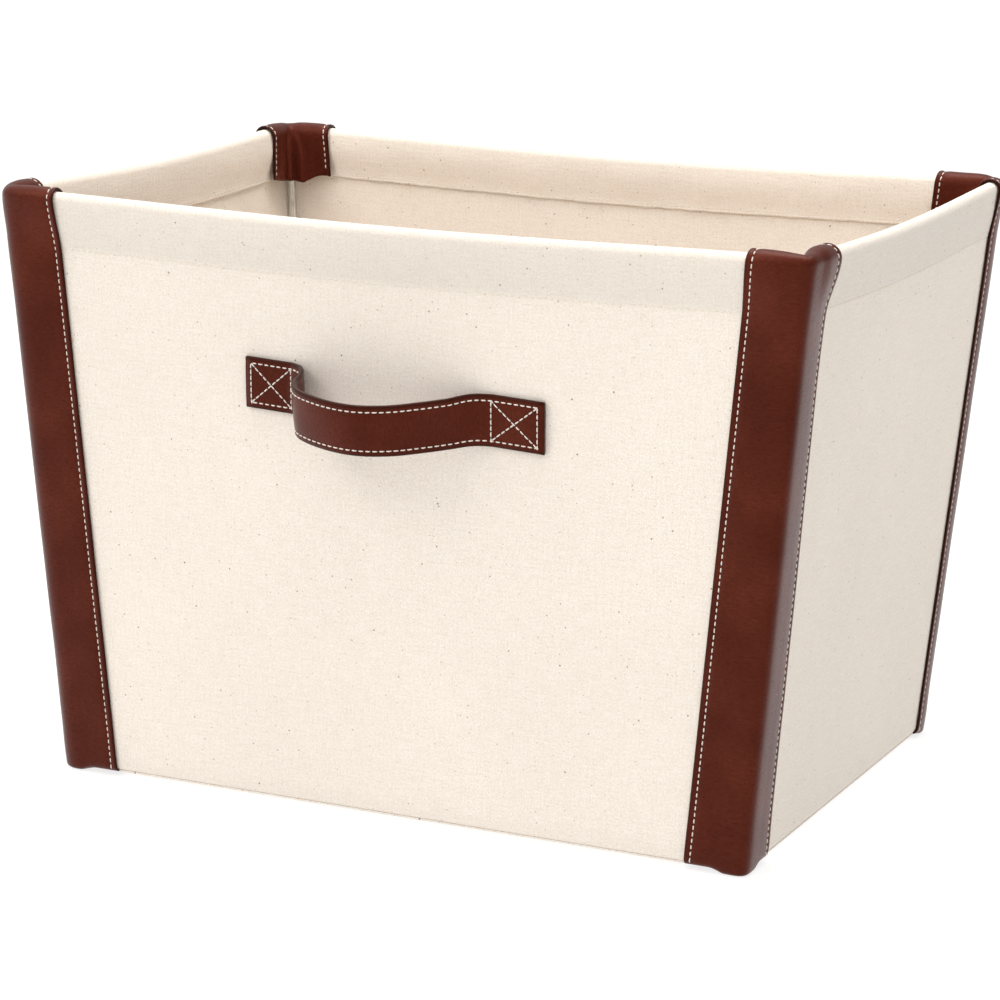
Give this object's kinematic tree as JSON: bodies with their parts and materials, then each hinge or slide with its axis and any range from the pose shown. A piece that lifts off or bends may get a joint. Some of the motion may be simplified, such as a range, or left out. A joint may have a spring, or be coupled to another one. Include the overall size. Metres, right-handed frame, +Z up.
{
  "type": "fabric storage bin",
  "caption": "Open-top canvas storage bin that flares towards a wired rim, with leather corner strips, a strap handle on the front and a loose covered base board.",
  "frame": {"origin": "middle of the footprint, on the plane that the four leather feet stand on", "axes": "+X to the right along the long side, -Y out of the front, where the handle is, +Z up"},
  "size_m": [0.43, 0.3397, 0.3003],
  "materials": {
    "canvas": "undyed plain-weave cotton-linen canvas with small flecks, matt",
    "brown_leather": "dark brown coated leather, fine creased grain, satin",
    "plated_wire": "bright plated steel wire",
    "fibreboard": "plain hardboard, hidden in its cover",
    "thread": "off-white polyester sewing thread"
  },
  "bodies": {
    "bin": {"front_panel": "canvas", "back_panel": "canvas", "left_panel": "canvas", "right_panel": "canvas", "base_panel": "canvas", "corner_strip_front_left": "brown_leather", "corner_strip_front_right": "brown_leather", "corner_strip_back_left": "brown_leather", "corner_strip_back_right": "brown_leather", "handle_tab_left": "brown_leather", "handle_tab_right": "brown_leather", "rim_wire": "plated_wire", "base_wire": "plated_wire", "corner_post_front_left": "plated_wire", "corner_post_front_right": "plated_wire", "corner_post_back_left": "plated_wire", "corner_post_back_right": "plated_wire", "corner_thread_front_left": "thread", "corner_thread_front_right": "thread", "corner_thread_back_left": "thread", "corner_thread_back_right": "thread", "hem_thread_front": "thread", "hem_thread_back": "thread", "hem_thread_left": "thread", "hem_thread_right": "thread", "handle_tab_thread_left": "thread", "handle_tab_thread_right": "thread"},
    "handle": {"handle_loop": "brown_leather", "handle_loop_thread": "thread"},
    "board": {"base_board": "fibreboard", "base_board_cover": "canvas"}
  },
  "joints": [
    {"name": "handle_swing", "type": "hinge", "parent": "bin", "child": "handle", "pos_m": [0, -0.14746, 0.208], "axis": [-1, 0, 0], "range_deg": [-20, 40]},
    {"name": "board_lift", "type": "slide", "parent": "bin", "child": "board", "axis": [0, 0, 1], "range_m": [0, 0.32]}
  ]
}
